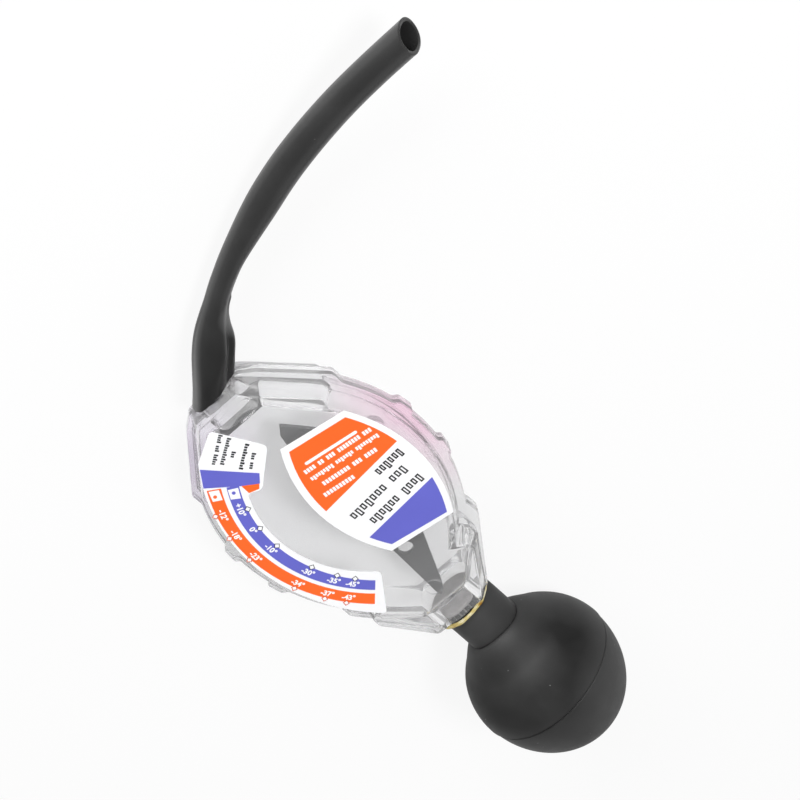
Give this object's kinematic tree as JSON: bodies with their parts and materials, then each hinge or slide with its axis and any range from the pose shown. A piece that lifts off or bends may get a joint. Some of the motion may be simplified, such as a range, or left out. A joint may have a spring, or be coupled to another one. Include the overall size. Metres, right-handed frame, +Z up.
{
  "type": "antifreeze tester",
  "caption": "Dial-type coolant tester: clear flat housing with a pivoting indicator vane and printed scale, a rubber squeeze bulb and a bent rubber pickup hose.",
  "frame": {"origin": "centre of the bounding box's underside, on the surface that the tester lies on", "axes": "+X from the pickup hose's end of the housing to the squeeze bulb, +Y to the side that the hose bends to, +Z up, out of the dial window"},
  "size_m": [0.2182, 0.146, 0.049],
  "materials": {
    "clear_plastic": "polished transparent moulding",
    "black_rubber": "matt with a soft sheen",
    "vane_plastic": "satin",
    "steel": "satin",
    "adhesive": "glossy, yellowed",
    "label_print": "satin printed film"
  },
  "bodies": {
    "housing": {"front_shell": "clear_plastic", "rear_shell": "clear_plastic", "pivot_pin": "steel", "pickup_hose": "black_rubber", "hose_bead": "adhesive", "squeeze_bulb": "black_rubber", "bulb_bead": "adhesive", "centre_label": "label_print", "scale_label": "label_print"},
    "vane": {"indicator_vane": "vane_plastic", "balance_weight": "steel"}
  },
  "joints": [
    {"name": "vane_swing", "type": "hinge", "parent": "housing", "child": "vane", "pos_m": [-0.01658, -0.01825, 0.016], "axis": [-0.1018, 0, 0.9948], "range_deg": [-18, 3]}
  ]
}
